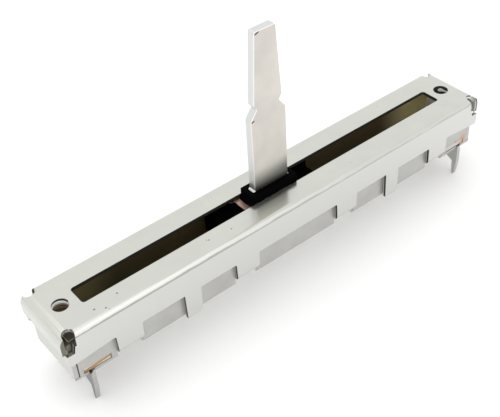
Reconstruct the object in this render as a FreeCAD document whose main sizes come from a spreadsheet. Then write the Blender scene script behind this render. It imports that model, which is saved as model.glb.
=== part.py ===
import FreeCAD, Part
import math
import os

import Sketcher

# Slide potentiometer with a metal lever.
# X runs along the slot, Y across it and Z up. The origin is under the middle of the body,
# at the height of the tips of the terminal pins.

doc = FreeCAD.newDocument("SlidePotentiometer")
sheet = doc.addObject("Spreadsheet::Sheet", "Sizes")


class Size:
    # A length that knows both its number and the sheet formula behind it.
    def __init__(self, number, formula):
        self.number = number
        self.formula = formula

    def __add__(self, other):
        return Size(self.number + number_of(other), f"({self.formula} + {formula_of(other)})")

    def __sub__(self, other):
        return Size(self.number - number_of(other), f"({self.formula} - {formula_of(other)})")

    def __mul__(self, other):
        return Size(self.number * number_of(other), f"({self.formula} * {formula_of(other)})")

    def __truediv__(self, other):
        return Size(self.number / number_of(other), f"({self.formula} / {formula_of(other)})")

    def __neg__(self):
        return Size(-self.number, f"(0 - {self.formula})")


def number_of(length):
    return length.number if isinstance(length, Size) else float(length)


def formula_of(length):
    return length.formula if isinstance(length, Size) else str(float(length))


size_notes = []


def size(alias, number, note):
    # One row of the sheet: a note, and the value in millimetres under its alias.
    size_notes.append(note)
    row = len(size_notes)
    sheet.set(f"A{row}", note)
    sheet.set(f"B{row}", str(number))
    sheet.setAlias(f"B{row}", alias)
    return Size(float(number), f"Sizes.{alias}")


# Driving dimensions of the body
cover_length = size("cover_length", 82.4, "cover over its end flaps")
cover_width = size("cover_width", 11.7, "cover over its long skirts")
pin_reach = size("pin_reach", 5.2, "pin tips to the underside of the pan")
body_height = size("body_height", 10.0, "underside of the pan to the top of the cover")
slider_place = size("slider_place", -0.9, "the slider's middle along X, as it rests in the picture")

# Cover sheet
cover_sheet = size("cover_sheet", 0.6, "thickness of the cover")
cover_bend = size("cover_bend", 0.3, "inner radius of its long bends")
flap_bend = size("flap_bend", 1.0, "inner radius of its end bends")
flap_drop = size("flap_drop", 3.25, "top of the cover to the edge of an end flap")
flap_inset = size("flap_inset", 0.45, "end flap narrower than the cover on each side")
slot_inset = size("slot_inset", 5.95, "end of the slot from the end of the cover")
slot_width = size("slot_width", 3.55, "slot across the body")
slot_corner = size("slot_corner", 0.5, "corner radius of the slot")
screw_inset = size("screw_inset", 3.45, "tapped hole from the end of the cover")
screw_bore = size("screw_bore", 2.5, "tapped hole over the crests of its M3 thread")
collar_wall = size("collar_wall", 0.7, "wall of the collar drawn down round a tapped hole")
collar_drop = size("collar_drop", 1.4, "collar below the sheet")
relief_bore = size("relief_bore", 1.8, "round relief at each corner, where two bends meet")
relief_depth = size("relief_depth", 2.2, "how far down the relief reaches")
relief_from_end = size("relief_from_end", 1.5, "centre of the relief from the end of the cover")
relief_from_side = size("relief_from_side", 0.65, "centre of the relief from the side of the cover")
skirt_drop = size("skirt_drop", 5.0, "top of the cover to the edge of a skirt between the tabs")
skirt_end_rise = size("skirt_end_rise", 0.2, "rise of that edge just beyond the outer tab")
skirt_end_drop = size("skirt_end_drop", 5.45, "top of the cover to the edge of a skirt at its end")
shoulder_inset = size("shoulder_inset", 2.2, "upper corner of a skirt under the relief, from the cover's end")
foot_inset = size("foot_inset", 0.4, "foot of a skirt from the end of the cover")
foot_round = size("foot_round", 0.5, "round of the foot")
foot_gap = size("foot_gap", 0.15, "foot of a skirt below the edge of the end flap")
window_corner = size("window_corner", 0.3, "corner radius beside a tab")

# Tabs that hold the pan
clinch_drop = size("clinch_drop", 8.45, "top of the cover to the underside of a folded tab")
clinch_reach = size("clinch_reach", 1.3, "folded tab across the body")
tab_width = size("tab_width", 4.35, "wide tab at its root")
tab_taper = size("tab_taper", 0.1, "narrowing of a tab on each side")
tab_corner = size("tab_corner", 0.1, "cut corner of a wide tab")
tab_inset = size("tab_inset", 10.0, "middle of the outer wide tab from the end of the cover")
inner_tab_share = size("inner_tab_share", 0.324, "place of the inner wide tab, as a share of the outer one's")
guide_tab_share = size("guide_tab_share", 0.65, "place of the narrow tab, as a share of the outer one's")
guide_width = size("guide_width", 2.9, "narrow tab at its root")
guide_drop = size("guide_drop", 9.7, "top of the cover to the end of a narrow tab")
guide_round = size("guide_round", 0.9, "large corner of a narrow tab")

# Pan
pan_sheet = size("pan_sheet", 0.7, "thickness of the pan")
pan_bend = size("pan_bend", 0.3, "inner radius of its bends")
nest_gap = size("nest_gap", 0.05, "side clearance between the pan and the cover")
end_gap = size("end_gap", 0.3, "end clearance between the pan and the cover")
lid_gap = size("lid_gap", 1.5, "top of the pan's walls below the sheet of the cover")
corner_slit = size("corner_slit", 0.15, "slit between a side wall and an end wall")
end_wall_inset = size("end_wall_inset", 0.1, "end wall narrower than the pan on each side")
notch_gap = size("notch_gap", 0.06, "notch beside a folded tab")
notch_depth = size("notch_depth", 1.35, "notch into the pan from its side")
slot_play = size("slot_play", 0.1, "clearance round what passes through the pan")
end_bar = size("end_bar", 0.9, "floor left between an opening and an end wall")
side_bar = size("side_bar", 0.4, "floor left between an opening and a side wall")
floor_opening_length = size("floor_opening_length", 5.0, "floor opening along the body")

# Board and printed strips
board_sheet = size("board_sheet", 0.8, "thickness of the board")
board_play = size("board_play", 0.1, "board to each side wall")
board_end_play = size("board_end_play", 0.2, "board to each end wall")
insulator_sheet = size("insulator_sheet", 0.45, "thickness of the sheet under the board")
insulator_play = size("insulator_play", 0.1, "sheet under the board to what is round it")
ear_length = size("ear_length", 4.3, "board ear along the body")
ear_inset = size("ear_inset", 0.15, "end of an ear inside the pan's outer face")
strip_side_inset = size("strip_side_inset", 1.15, "outer edge of a strip from the pan's side wall")
strip_middle_gap = size("strip_middle_gap", 0.65, "inner edge of a strip from the centre line")
strip_film = size("strip_film", 0.05, "thickness of a printed strip")
electrode_length = size("electrode_length", 4.4, "silver pad at each end of the resistive strip")
print_inset = size("print_inset", 2.1, "end of the printing from the pan's end wall")

# Terminals and eyelets
pin_sheet = size("pin_sheet", 0.7, "thickness of a terminal")
pin_inset = size("pin_inset", 2.0, "middle of a pin from the pan's end wall")
pin_proud = size("pin_proud", 0.2, "outer edge of a pin outside the pan's side")
pin_bend = size("pin_bend", 0.2, "inner radius of a terminal's bend")
pin_shoulder = size("pin_shoulder", 2.7, "shoulder above the pin tips")
shoulder_slope = size("shoulder_slope", 1.2, "rise of the shoulder away from the pin")
pin_width = size("pin_width", 0.95, "pin under its shoulder")
pin_tip = size("pin_tip", 0.5, "pin at its tip")
pin_lean = size("pin_lean", 0.35, "outer edge of the tip inside the outer edge of the plate")
lug_width = size("lug_width", 4.1, "terminal plate across the body")
lug_foot_width = size("lug_foot_width", 2.4, "terminal foot across the body")
lug_foot_length = size("lug_foot_length", 3.3, "terminal foot to the middle of its pin")
eyelet_inset = size("eyelet_inset", 1.9, "eyelet from the middle of the pin")
eyelet_reach = size("eyelet_reach", 3.0, "eyelet from the outer edge of a pin, across the body")
eyelet_shank = size("eyelet_shank", 1.3, "eyelet shank")
eyelet_head = size("eyelet_head", 2.0, "eyelet head")
eyelet_rim = size("eyelet_rim", 0.15, "thickness of the eyelet's heads")
eyelet_bore = size("eyelet_bore", 0.8, "bore of the eyelet")

# Carriage
carriage_length = size("carriage_length", 18.9, "carriage along the body")
carriage_depth = size("carriage_depth", 4.9, "height of the carriage's block")
carriage_side_gap = size("carriage_side_gap", 0.2, "carriage to the pan's side walls")
carriage_lid_gap = size("carriage_lid_gap", 0.2, "carriage to the cover")
runner_width = size("runner_width", 0.6, "runner across the body")
runner_length = size("runner_length", 3.0, "runner along the body")
runner_inset = size("runner_inset", 0.4, "runner from the end of the block")
runner_gap = size("runner_gap", 0.1, "runner above the board")
boss_length = size("boss_length", 8.7, "boss along the slot")
boss_gap = size("boss_gap", 0.13, "boss to each edge of the slot")
boss_rise = size("boss_rise", 0.6, "boss above the cover")
boss_corner = size("boss_corner", 0.3, "corner radius of the boss")
collar_gap = size("collar_gap", 0.25, "carriage to a collar at the end of the travel")
groove_length = size("groove_length", 2.0, "groove for the leaf, from the boss outward")
stud_bore = size("stud_bore", 0.9, "stud that holds the wiper")
stud_head = size("stud_head", 1.5, "closed head of a stud")
stud_head_height = size("stud_head_height", 0.3, "height of that head")

# Lever
lever_rise = size("lever_rise", 27.8, "top of the lever above the cover")
lever_width = size("lever_width", 6.5, "lever below its notches")
lever_sheet = size("lever_sheet", 1.4, "thickness of the lever")
lever_top_width = size("lever_top_width", 3.8, "lever at its top")
neck_width = size("neck_width", 5.25, "start of the taper above the notches")
notch_top = size("notch_top", 16.3, "top of the notches above the cover")
notch_middle = size("notch_middle", 15.5, "deepest point of the notches above the cover")
notch_bottom = size("notch_bottom", 13.9, "lower end of the notches above the cover")
notch_inner_width = size("notch_inner_width", 4.15, "lever between its notches")
notch_round = size("notch_round", 0.35, "rounding at the notches")
lever_top_round = size("lever_top_round", 0.3, "rounding of the top corners")
tang_depth = size("tang_depth", 5.2, "lever below the top of the boss")
step_width = size("step_width", 0.35, "step on each side of the lever's foot")
step_height = size("step_height", 0.5, "height of that step")
step_slope = size("step_slope", 0.35, "slope above that step")
lever_edge = size("lever_edge", 0.1, "broken edge of the lever")

# Wiper and drag leaf
wiper_sheet = size("wiper_sheet", 0.18, "thickness of the wiper")
wiper_start = size("wiper_start", 7.6, "wiper plate behind the slider's middle")
wiper_plate = size("wiper_plate", 4.0, "wiper plate along the body")
wiper_inset = size("wiper_inset", 0.1, "side of the wiper inside the outer edge of a strip")
finger_inset = size("finger_inset", 0.12, "outer finger from the edge of its strip")
finger_gap = size("finger_gap", 0.26, "gap between two fingers")
finger_reach = size("finger_reach", 4.6, "wiper plate to the contact point")
finger_tail = size("finger_tail", 0.8, "turned up end beyond the contact point")
finger_tail_rise = size("finger_tail_rise", 0.5, "rise of the turned up end")
finger_bend = size("finger_bend", 0.3, "bend at the contact point")
contact_gap = size("contact_gap", 0.05, "contact point above its strip")
leaf_sheet = size("leaf_sheet", 0.2, "thickness of the leaf")
leaf_width = size("leaf_width", 1.0, "leaf at its middle")
leaf_end_width = size("leaf_end_width", 1.7, "leaf at its ends")
leaf_waist = size("leaf_waist", 3.6, "length of the narrow middle of the leaf")
leaf_span = size("leaf_span", 7.8, "leaf across the body")
leaf_crest = size("leaf_crest", 2.6, "crest of the leaf from the centre line")
leaf_flat = size("leaf_flat", 1.0, "half of the flat in the middle of the leaf")
leaf_sag = size("leaf_sag", 0.2, "middle of the leaf below its crests")
leaf_gap = size("leaf_gap", 0.12, "leaf to the boss and to the cover")

# Levels and half sizes worked out from them
half_length = cover_length / 2
half_width = cover_width / 2
pan_bottom = pin_reach
cover_top = pin_reach + body_height
cover_under = cover_top - cover_sheet
pan_half_width = half_width - cover_sheet - nest_gap
pan_half_inside = pan_half_width - pan_sheet
pan_half_length = half_length - cover_sheet - end_gap
pan_end_inside = pan_half_length - pan_sheet
pan_floor = pan_bottom + pan_sheet
pan_top = cover_under - lid_gap
pan_outer_bend = pan_bend + pan_sheet
slot_length = cover_length - slot_inset * 2
screw_along = half_length - screw_inset
outer_tab = half_length - tab_inset
inner_tab = outer_tab * inner_tab_share
guide_tab = outer_tab * guide_tab_share
opening_end = pan_end_inside - end_bar
opening_start = opening_end - floor_opening_length
ear_start = opening_end - ear_length
pin_along = pan_end_inside - pin_inset
pin_edge = pan_half_width + pin_proud
eyelet_along = pin_along - eyelet_inset
eyelet_across = pin_edge - eyelet_reach
strip_width = pan_half_inside - strip_side_inset - strip_middle_gap
strip_place = strip_middle_gap + strip_width / 2
stud_across = strip_place
wiper_span = (strip_place + strip_width / 2 - wiper_inset) * 2
finger_count = 4
finger_width = (strip_width - finger_inset * 2 - finger_gap * (finger_count - 1)) / finger_count
finger_pitch = finger_width + finger_gap
print_end = pan_end_inside - print_inset
carbon_end = print_end - electrode_length
board_bottom = pan_floor + insulator_sheet
board_top = board_bottom + board_sheet
strip_top = board_top + strip_film
clinch_bottom = cover_top - clinch_drop
clinch_top = clinch_bottom + cover_sheet
skirt_edge = cover_top - skirt_drop
foot_top = cover_top - flap_drop - foot_gap
flap_start = half_length - flap_bend - cover_sheet
collar_radius = screw_bore / 2 + collar_wall
collar_bottom = cover_under - collar_drop
carriage_top = cover_under - carriage_lid_gap
carriage_bottom = carriage_top - carriage_depth
boss_top = cover_top + boss_rise
relief_floor = collar_bottom - collar_gap
wiper_bottom = carriage_bottom - wiper_sheet
over = 2.0
ends = (-1, 1)
sides = (-1, 1)
parts = []


# Sketches and features

def origin_feature(body, role):
    for feature in body.Origin.OriginFeatures:
        if feature.Role == role:
            return feature
    raise ValueError(role)


def new_body(label, rides_slider=False):
    body = doc.addObject("PartDesign::Body", label)
    body.Label = label
    if rides_slider:
        body.setExpression("Placement.Base.x", slider_place.formula)
    parts.append(body)
    return body


def new_sketch(body, name, plane, offset=None):
    sketch = body.newObject("Sketcher::SketchObject", name)
    sketch.AttachmentSupport = [(origin_feature(body, plane), "")]
    sketch.MapMode = "FlatFace"
    if offset is not None:
        raised = FreeCAD.Vector(0, 0, number_of(offset))
        sketch.AttachmentOffset = FreeCAD.Placement(raised, FreeCAD.Rotation())
        sketch.setExpression("AttachmentOffset.Base.z", formula_of(offset))
    return sketch


def tie(sketch, kind, geometry, length):
    number = sketch.addConstraint(Sketcher.Constraint(kind, *geometry, number_of(length)))
    sketch.setExpression(f"Constraints[{number}]", formula_of(length))


def tie_point(sketch, geometry, vertex, x, y):
    tie(sketch, "DistanceX", (-1, 1, geometry, vertex), x)
    tie(sketch, "DistanceY", (-1, 1, geometry, vertex), y)


class Corner:
    # One corner of an outline, with the points where a round begins and ends.
    def __init__(self, before, here, after, radius):
        incoming = (here - before).normalize()
        outgoing = (after - here).normalize()
        half_turn = incoming.getAngle(outgoing) / 2
        trim = radius * math.tan(half_turn)
        self.turns_left = incoming.cross(outgoing).z > 0
        self.enter = here - incoming * trim
        self.leave = here + outgoing * trim
        inward = (outgoing - incoming).normalize()
        self.middle = here + inward * (radius / math.cos(half_turn) - radius)

    def arc(self):
        if self.turns_left:
            return Part.Arc(self.enter, self.middle, self.leave)
        return Part.Arc(self.leave, self.middle, self.enter)


def outline(sketch, points):
    # A closed outline. A point is (x, y), or (x, y, radius) where its corner is rounded.
    count = len(points)
    places = [FreeCAD.Vector(number_of(point[0]), number_of(point[1]), 0) for point in points]
    radii = [point[2] if len(point) > 2 else None for point in points]
    corners = []
    for i in range(count):
        radius = number_of(radii[i]) if radii[i] is not None else 0.0
        corners.append(Corner(places[i - 1], places[i], places[(i + 1) % count], radius))
    first = sketch.GeometryCount
    for i in range(count):
        sketch.addGeometry(Part.LineSegment(corners[i].leave, corners[(i + 1) % count].enter), False)
    for i in range(count):
        line_in = first + (i - 1) % count
        line_out = first + i
        x, y = points[i][0], points[i][1]
        if radii[i] is None:
            sketch.addConstraint(Sketcher.Constraint("Coincident", line_in, 2, line_out, 1))
            tie_point(sketch, line_out, 1, x, y)
            continue
        arc = sketch.addGeometry(corners[i].arc(), False)
        enter_vertex, leave_vertex = (1, 2) if corners[i].turns_left else (2, 1)
        sketch.addConstraint(Sketcher.Constraint("Tangent", line_in, 2, arc, enter_vertex))
        sketch.addConstraint(Sketcher.Constraint("Tangent", line_out, 1, arc, leave_vertex))
        tie(sketch, "Radius", (arc,), radii[i])
        corner = sketch.addGeometry(Part.Point(places[i]), True)
        sketch.addConstraint(Sketcher.Constraint("PointOnObject", corner, 1, line_in))
        sketch.addConstraint(Sketcher.Constraint("PointOnObject", corner, 1, line_out))
        tie_point(sketch, corner, 1, x, y)


def rectangle(sketch, x_low, x_high, y_low, y_high, radius=None):
    corners = [(x_low, y_low), (x_high, y_low), (x_high, y_high), (x_low, y_high)]
    if radius is not None:
        corners = [corner + (radius,) for corner in corners]
    outline(sketch, corners)


def circle(sketch, x, y, diameter):
    centre = FreeCAD.Vector(number_of(x), number_of(y), 0)
    round_line = Part.Circle(centre, FreeCAD.Vector(0, 0, 1), number_of(diameter) / 2)
    geometry = sketch.addGeometry(round_line, False)
    tie_point(sketch, geometry, 3, x, y)
    tie(sketch, "Diameter", (geometry,), diameter)


def flipped(points, end):
    # The same outline at the other end of the body.
    return [(point[0] * end,) + tuple(point[1:]) for point in points]


def close(body, feature):
    body.Tip = feature
    doc.recompute()
    if "Invalid" in feature.State or "Error" in feature.State:
        raise ValueError(f"{feature.Name} of {body.Label} has failed")
    return feature


def pad(body, name, sketch, length, symmetric=False):
    feature = body.newObject("PartDesign::Pad", name)
    feature.Profile = sketch
    feature.SideType = "Symmetric" if symmetric else "One side"
    feature.Length = number_of(length)
    feature.setExpression("Length", formula_of(length))
    return close(body, feature)


def pocket(body, name, sketch, depth=None):
    # Without a depth it goes right through, to both sides of the sketch.
    before = body.Shape.Volume
    feature = body.newObject("PartDesign::Pocket", name)
    feature.Profile = sketch
    if depth is None:
        feature.SideType = "Symmetric"
        feature.Type = "ThroughAll"
    else:
        feature.Length = number_of(depth)
        feature.setExpression("Length", formula_of(depth))
    close(body, feature)
    if body.Shape.Volume > before - 0.001:
        raise ValueError(f"{name} of {body.Label} cuts nothing")
    return feature


def mirrored(body, name, originals, plane):
    feature = body.newObject("PartDesign::Mirrored", name)
    feature.Originals = originals
    feature.MirrorPlane = (origin_feature(body, plane), [""])
    return close(body, feature)


def row_of(body, name, originals, axis, pitch, count):
    feature = body.newObject("PartDesign::LinearPattern", name)
    feature.Originals = originals
    feature.Direction = (origin_feature(body, axis), [""])
    feature.Mode = "Spacing"
    feature.Offset = number_of(pitch)
    feature.setExpression("Offset", formula_of(pitch))
    feature.Occurrences = count
    return close(body, feature)


def block(name, x, y, z, length, width, height):
    shape = doc.addObject("Part::Box", name)
    for key, value in (("Length", length), ("Width", width), ("Height", height)):
        shape.setExpression(key, formula_of(value))
    for key, value in (("x", x), ("y", y), ("z", z)):
        shape.setExpression(f"Placement.Base.{key}", formula_of(value))
    return shape


def rod(name, x, y, z, diameter, height):
    shape = doc.addObject("Part::Cylinder", name)
    shape.setExpression("Radius", formula_of(diameter / 2))
    shape.setExpression("Height", formula_of(height))
    for key, value in (("x", x), ("y", y), ("z", z)):
        shape.setExpression(f"Placement.Base.{key}", formula_of(value))
    return shape


def joined(name, shapes, kind="Part::MultiFuse"):
    shape = doc.addObject(kind, name)
    shape.Shapes = shapes
    return shape


def cut(name, base, tool):
    shape = doc.addObject("Part::Cut", name)
    shape.Base = base
    shape.Tool = tool
    return shape


# Cover: one folded sheet with slot, tapped holes, skirts, tabs and end flaps

def tab_side(root, inward, edge):
    # Down one side of a wide tab, from its root to below its folded end.
    low = root + tab_taper * inward
    corner = low + tab_corner * inward
    return [
        (root, edge, window_corner),
        (low, clinch_bottom + tab_corner),
        (corner, clinch_bottom),
        (corner, clinch_bottom - over),
    ]


def window(left_root, right_root):
    # The opening between two wide tabs of one skirt.
    right = tab_side(right_root, 1, skirt_edge)
    right.reverse()
    return tab_side(left_root, -1, skirt_edge) + right


def skirt_end():
    # What is cut away beyond the outer tab, at the right end.
    far = half_length + over
    beyond_tab = tab_side(outer_tab + tab_width / 2, -1, skirt_edge + skirt_end_rise)
    return beyond_tab + [
        (far, clinch_bottom - over),
        (far, cover_top + over),
        (flap_start, cover_top + over),
        (flap_start, foot_top),
        (half_length - foot_inset, foot_top),
        (half_length - foot_inset, cover_top - skirt_end_drop, foot_round),
    ]


def corner_slit_outline():
    # What is cut from a skirt and its bend under the round relief, at the right end.
    shoulder = half_length - shoulder_inset
    return [
        (shoulder, cover_top + over),
        (shoulder, cover_under),
        (flap_start, foot_top),
        (half_length + over, foot_top),
        (half_length + over, cover_top + over),
    ]


def end_flap():
    outer_bend = flap_bend + cover_sheet
    edge = cover_top - flap_drop
    inner_face = half_length - cover_sheet
    root = flap_start - cover_bend
    return [
        (root, cover_under),
        (inner_face, cover_under, flap_bend),
        (inner_face, edge),
        (half_length, edge),
        (half_length, cover_top, outer_bend),
        (root, cover_top),
    ]


def guide_outline(middle):
    # A narrow tab, with one large corner on its right.
    left = middle - guide_width / 2
    right = middle + guide_width / 2
    low = cover_top - guide_drop
    return [
        (left, skirt_edge + cover_sheet),
        (left, skirt_edge),
        (left + tab_taper, low),
        (right - tab_taper, low, guide_round),
        (right, skirt_edge),
        (right, skirt_edge + cover_sheet),
    ]


def make_cover():
    body = new_body("top_cover")
    outer_bend = cover_bend + cover_sheet
    inner = half_width - cover_sheet
    lip = half_width - clinch_reach
    sketch = new_sketch(body, "CoverSection", "YZ_Plane")
    outline(sketch, [
        (-half_width, clinch_bottom, outer_bend),
        (-lip, clinch_bottom),
        (-lip, clinch_top),
        (-inner, clinch_top, cover_bend),
        (-inner, cover_under, cover_bend),
        (inner, cover_under, cover_bend),
        (inner, clinch_top, cover_bend),
        (lip, clinch_top),
        (lip, clinch_bottom),
        (half_width, clinch_bottom, outer_bend),
        (half_width, cover_top, outer_bend),
        (-half_width, cover_top, outer_bend),
    ])
    pad(body, "CoverChannel", sketch, cover_length, symmetric=True)

    half_tab = tab_width / 2
    sketch = new_sketch(body, "SkirtOutlines", "XZ_Plane")
    outline(sketch, window(-inner_tab + half_tab, inner_tab - half_tab))
    for end in ends:
        outline(sketch, flipped(window(inner_tab + half_tab, outer_tab - half_tab), end))
        outline(sketch, flipped(skirt_end(), end))
    pocket(body, "SkirtWindows", sketch)

    sketch = new_sketch(body, "CornerSlitOutlines", "XZ_Plane", half_width)
    for end in ends:
        outline(sketch, flipped(corner_slit_outline(), end))
    slits = pocket(body, "CornerSlits", sketch, cover_sheet + cover_bend)
    mirrored(body, "FarCornerSlits", [slits], "XZ_Plane")

    sketch = new_sketch(body, "GuideTabOutlines", "XZ_Plane", inner)
    for end in ends:
        outline(sketch, guide_outline(guide_tab * end))
    guide_pad = pad(body, "GuideTabs", sketch, cover_sheet)
    mirrored(body, "FarGuideTabs", [guide_pad], "XZ_Plane")

    sketch = new_sketch(body, "EndFlapSection", "XZ_Plane")
    for end in ends:
        outline(sketch, flipped(end_flap(), end))
    pad(body, "EndFlaps", sketch, cover_width - flap_inset * 2, symmetric=True)

    sketch = new_sketch(body, "SlotOutline", "XY_Plane")
    rectangle(sketch, -slot_length / 2, slot_length / 2, -slot_width / 2, slot_width / 2, slot_corner)
    pocket(body, "Slot", sketch)

    sketch = new_sketch(body, "ReliefCircles", "XY_Plane", cover_top)
    for end in ends:
        for side in sides:
            x = (half_length - relief_from_end) * end
            circle(sketch, x, (half_width - relief_from_side) * side, relief_bore)
    pocket(body, "CornerReliefs", sketch, relief_depth)

    sketch = new_sketch(body, "CollarCircles", "XY_Plane", collar_bottom)
    for end in ends:
        circle(sketch, screw_along * end, 0.0, collar_radius * 2)
    pad(body, "Collars", sketch, collar_drop)

    sketch = new_sketch(body, "ScrewCircles", "XY_Plane")
    for end in ends:
        circle(sketch, screw_along * end, 0.0, screw_bore)
    pocket(body, "TappedHoles", sketch)


# Pan: one folded tray with notches for the tabs, the board's ears and the pins

def make_pan():
    body = new_body("base_pan")
    side_wall_end = pan_end_inside - corner_slit
    sketch = new_sketch(body, "PanSection", "YZ_Plane")
    outline(sketch, [
        (-pan_half_width, pan_bottom, pan_outer_bend),
        (pan_half_width, pan_bottom, pan_outer_bend),
        (pan_half_width, pan_top),
        (pan_half_inside, pan_top),
        (pan_half_inside, pan_floor, pan_bend),
        (-pan_half_inside, pan_floor, pan_bend),
        (-pan_half_inside, pan_top),
        (-pan_half_width, pan_top),
    ])
    pad(body, "PanChannel", sketch, pan_half_length * 2, symmetric=True)

    bend_top = pan_bottom + pan_outer_bend
    far = pan_half_length + over
    sketch = new_sketch(body, "SideWallEnds", "XZ_Plane")
    for end in ends:
        outline(sketch, flipped([
            (side_wall_end, bend_top),
            (far, bend_top),
            (far, pan_top + over),
            (side_wall_end, pan_top + over),
        ], end))
    pocket(body, "ShortenedSideWalls", sketch)

    bend_half_width = pan_half_width - pan_outer_bend
    wall_half_width = pan_half_width - end_wall_inset
    sketch = new_sketch(body, "EndWallOutline", "YZ_Plane", pan_end_inside)
    outline(sketch, [
        (-bend_half_width, pan_bottom),
        (bend_half_width, pan_bottom),
        (bend_half_width, bend_top),
        (wall_half_width, bend_top),
        (wall_half_width, pan_top),
        (-wall_half_width, pan_top),
        (-wall_half_width, bend_top),
        (-bend_half_width, bend_top),
    ])
    wall = pad(body, "EndWall", sketch, pan_sheet)
    mirrored(body, "OtherEndWall", [wall], "YZ_Plane")

    sketch = new_sketch(body, "EndRoundSection", "XZ_Plane")
    for end in ends:
        outline(sketch, flipped([
            (pan_end_inside - over, pan_bottom - over),
            (pan_end_inside - over, pan_bottom),
            (pan_half_length, pan_bottom, pan_outer_bend),
            (pan_half_length, bend_top + over),
            (far, bend_top + over),
            (far, pan_bottom - over),
        ], end))
    pocket(body, "EndRounds", sketch)

    pin_half = pin_sheet / 2 + slot_play
    tab_half = tab_width / 2 - tab_taper + notch_gap
    below = pan_bottom - over
    sketch = new_sketch(body, "WallOpenings", "XZ_Plane", pan_half_width)
    for end in ends:
        for tab in (inner_tab, outer_tab):
            rectangle(sketch, tab * end - tab_half, tab * end + tab_half, below, clinch_top + cover_bend)
        outline(sketch, flipped([
            (ear_start - slot_play, board_bottom - nest_gap),
            (pin_along - pin_half, board_bottom - nest_gap),
            (pin_along - pin_half, below),
            (pin_along + pin_half, below),
            (pin_along + pin_half, board_bottom - nest_gap),
            (ear_start + ear_length + slot_play, board_bottom - nest_gap),
            (ear_start + ear_length + slot_play, board_top + nest_gap),
            (ear_start - slot_play, board_top + nest_gap),
        ], end))
    openings = pocket(body, "NearWallOpenings", sketch, notch_depth)
    mirrored(body, "FarWallOpenings", [openings], "XZ_Plane")

    half_opening = pan_half_inside - side_bar
    sketch = new_sketch(body, "FloorOpeningOutlines", "XY_Plane", pan_floor)
    for end in ends:
        outline(sketch, flipped([
            (opening_start, -half_opening),
            (opening_end, -half_opening),
            (opening_end, half_opening),
            (opening_start, half_opening),
        ], end))
    pocket(body, "FloorOpenings", sketch, pan_sheet)


# Board with ears, the sheet under it and the printed strips on it

def make_board():
    body = new_body("resistor_board")
    half_board = pan_end_inside - board_end_play
    edge = pan_half_inside - board_play
    ear_edge = pan_half_width - ear_inset
    sketch = new_sketch(body, "BoardOutline", "XY_Plane", board_bottom)
    rectangle(sketch, -half_board, half_board, -edge, edge)
    pad(body, "BoardSheet", sketch, board_sheet)
    sketch = new_sketch(body, "EarOutlines", "XY_Plane", board_bottom)
    for end in ends:
        outline(sketch, flipped([
            (ear_start, -ear_edge),
            (ear_start + ear_length, -ear_edge),
            (ear_start + ear_length, ear_edge),
            (ear_start, ear_edge),
        ], end))
    pad(body, "BoardEars", sketch, board_sheet)
    sketch = new_sketch(body, "EyeletHoles", "XY_Plane", board_top)
    for end in ends:
        for side in sides:
            circle(sketch, eyelet_along * end, eyelet_across * side, eyelet_shank)
    pocket(body, "BoardHoles", sketch, board_sheet)


def make_insulator():
    width = (pan_half_inside - pan_bend - insulator_play) * 2
    half_strip = opening_start - insulator_play
    parts.append(block("insulator_strip", -half_strip, -width / 2, pan_floor,
                       half_strip * 2, width, insulator_sheet))


def shank_hole(name, end, side):
    return rod(name, eyelet_along * end, eyelet_across * side, board_top - strip_film,
               eyelet_shank, strip_film * 3)


def make_strips():
    near_edge = -strip_place - strip_width / 2
    far_edge = strip_place - strip_width / 2
    parts.append(block("resistive_track", -carbon_end, near_edge, board_top,
                       carbon_end * 2, strip_width, strip_film))
    for label, end in (("track_electrode_left", -1), ("track_electrode_right", 1)):
        start = carbon_end if end > 0 else -print_end
        printed = block(label + "_print", start, near_edge, board_top,
                        electrode_length, strip_width, strip_film)
        parts.append(cut(label, printed, shank_hole(label + "_hole", end, -1)))
    printed = block("collector_print", -print_end, far_edge, board_top,
                    print_end * 2, strip_width, strip_film)
    holes = [shank_hole(f"collector_{word}_hole", end, 1) for word, end in (("left", -1), ("right", 1))]
    parts.append(cut("collector_track", printed, joined("collector_holes", holes)))


# Terminals: a foot under the board, bent down into a plate with a pin

def make_terminal(label, end, side):
    body = new_body(label)
    near_face = pin_along - pin_sheet / 2
    far_face = pin_along + pin_sheet / 2
    foot_start = pin_along - lug_foot_length
    foot_bottom = board_bottom - pin_sheet
    outer_edge = pin_edge
    inner_edge = outer_edge - lug_width
    start = inner_edge if side < 0 else -outer_edge
    sketch = new_sketch(body, label + "_fold", "XZ_Plane", start)
    outline(sketch, flipped([
        (foot_start, foot_bottom),
        (near_face, foot_bottom, pin_bend),
        (near_face, 0.0),
        (far_face, 0.0),
        (far_face, board_bottom, pin_bend + pin_sheet),
        (foot_start, board_bottom),
    ], end))
    pad(body, label + "_sheet", sketch, lug_width)

    pin_inner = outer_edge - pin_width
    tip_outer = outer_edge - pin_lean
    tip_inner = tip_outer - pin_tip
    sketch = new_sketch(body, label + "_pin_outline", "YZ_Plane")
    outline(sketch, flipped([
        (outer_edge, pin_shoulder),
        (tip_outer, pin_tip),
        (tip_outer - pin_tip / 4, -pin_tip / 2),
        (outer_edge + over, -pin_tip / 2),
        (outer_edge + over, pin_shoulder),
    ], side))
    outline(sketch, flipped([
        (inner_edge - over, pin_shoulder + shoulder_slope),
        (inner_edge + pin_sheet, pin_shoulder + shoulder_slope),
        (pin_inner, pin_shoulder, pin_bend),
        (tip_inner, pin_tip),
        (tip_inner + pin_tip / 4, -pin_tip / 2),
        (inner_edge - over, -pin_tip / 2),
    ], side))
    pocket(body, label + "_pin", sketch)

    foot_edge = inner_edge + lug_foot_width
    sketch = new_sketch(body, label + "_foot_outline", "XY_Plane")
    points = [
        (foot_start - over, foot_edge),
        (near_face, foot_edge),
        (near_face, outer_edge + over),
        (foot_start - over, outer_edge + over),
    ]
    outline(sketch, [(point[0] * end, point[1] * side) + tuple(point[2:]) for point in points])
    circle(sketch, eyelet_along * end, eyelet_across * side, eyelet_shank)
    pocket(body, label + "_foot", sketch)


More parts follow.
